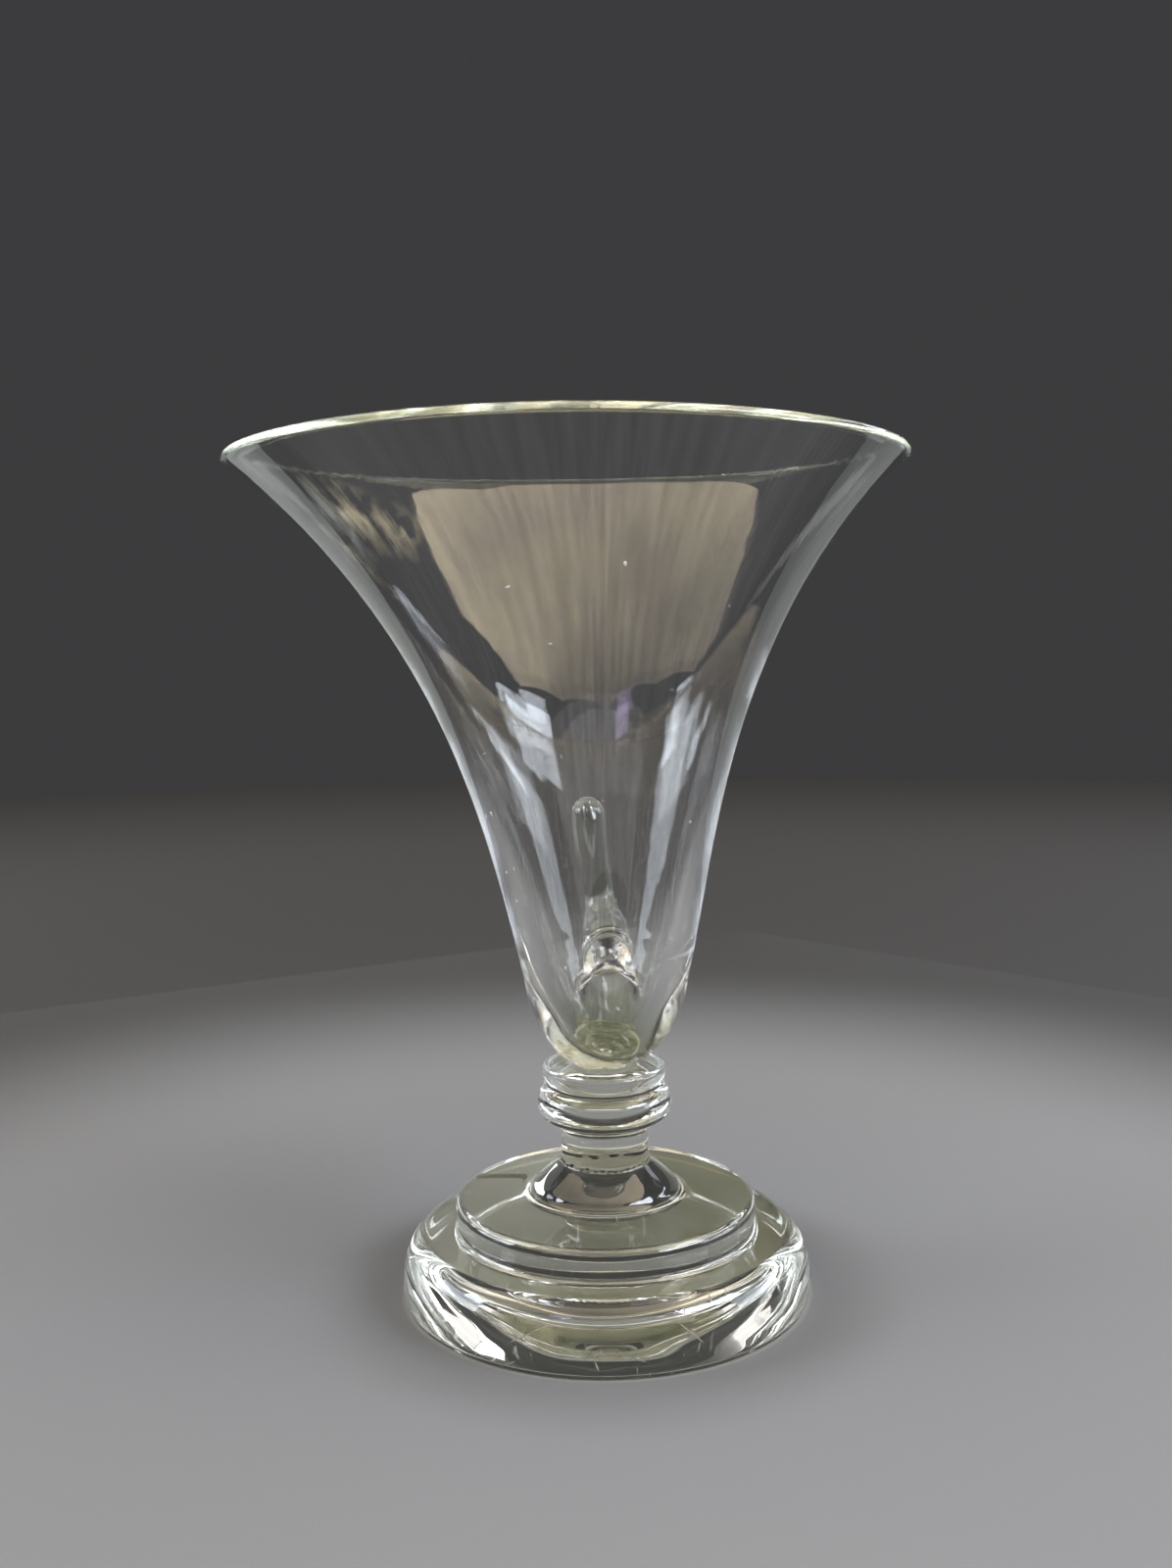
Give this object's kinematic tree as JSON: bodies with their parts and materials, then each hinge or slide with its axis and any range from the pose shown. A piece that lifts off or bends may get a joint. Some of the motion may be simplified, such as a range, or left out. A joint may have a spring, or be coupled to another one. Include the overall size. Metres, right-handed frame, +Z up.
{
  "type": "cornucopia vase",
  "caption": "Clear glass horn-shaped vase that flares to a wide round mouth, with an upturned tail behind it, on a ringed stem and a stepped round foot.",
  "frame": {"origin": "centre of the foot's flat underside, on the surface the vase stands on", "axes": "+Z up along the stem; the front looks along -Y and the horn's tail rises behind at +Y; the mouth's centre leans a little to -X"},
  "size_m": [0.1826, 0.1826, 0.236],
  "materials": {
    "clear_glass": "gloss",
    "thick_glass": "gloss"
  },
  "bodies": {
    "root": {"foot_base": "thick_glass", "foot_disc": "thick_glass", "stem_neck": "thick_glass", "ring_knop": "thick_glass", "collar_flange": "thick_glass", "horn_bowl": "clear_glass", "horn_tail": "thick_glass"}
  },
  "joints": []
}
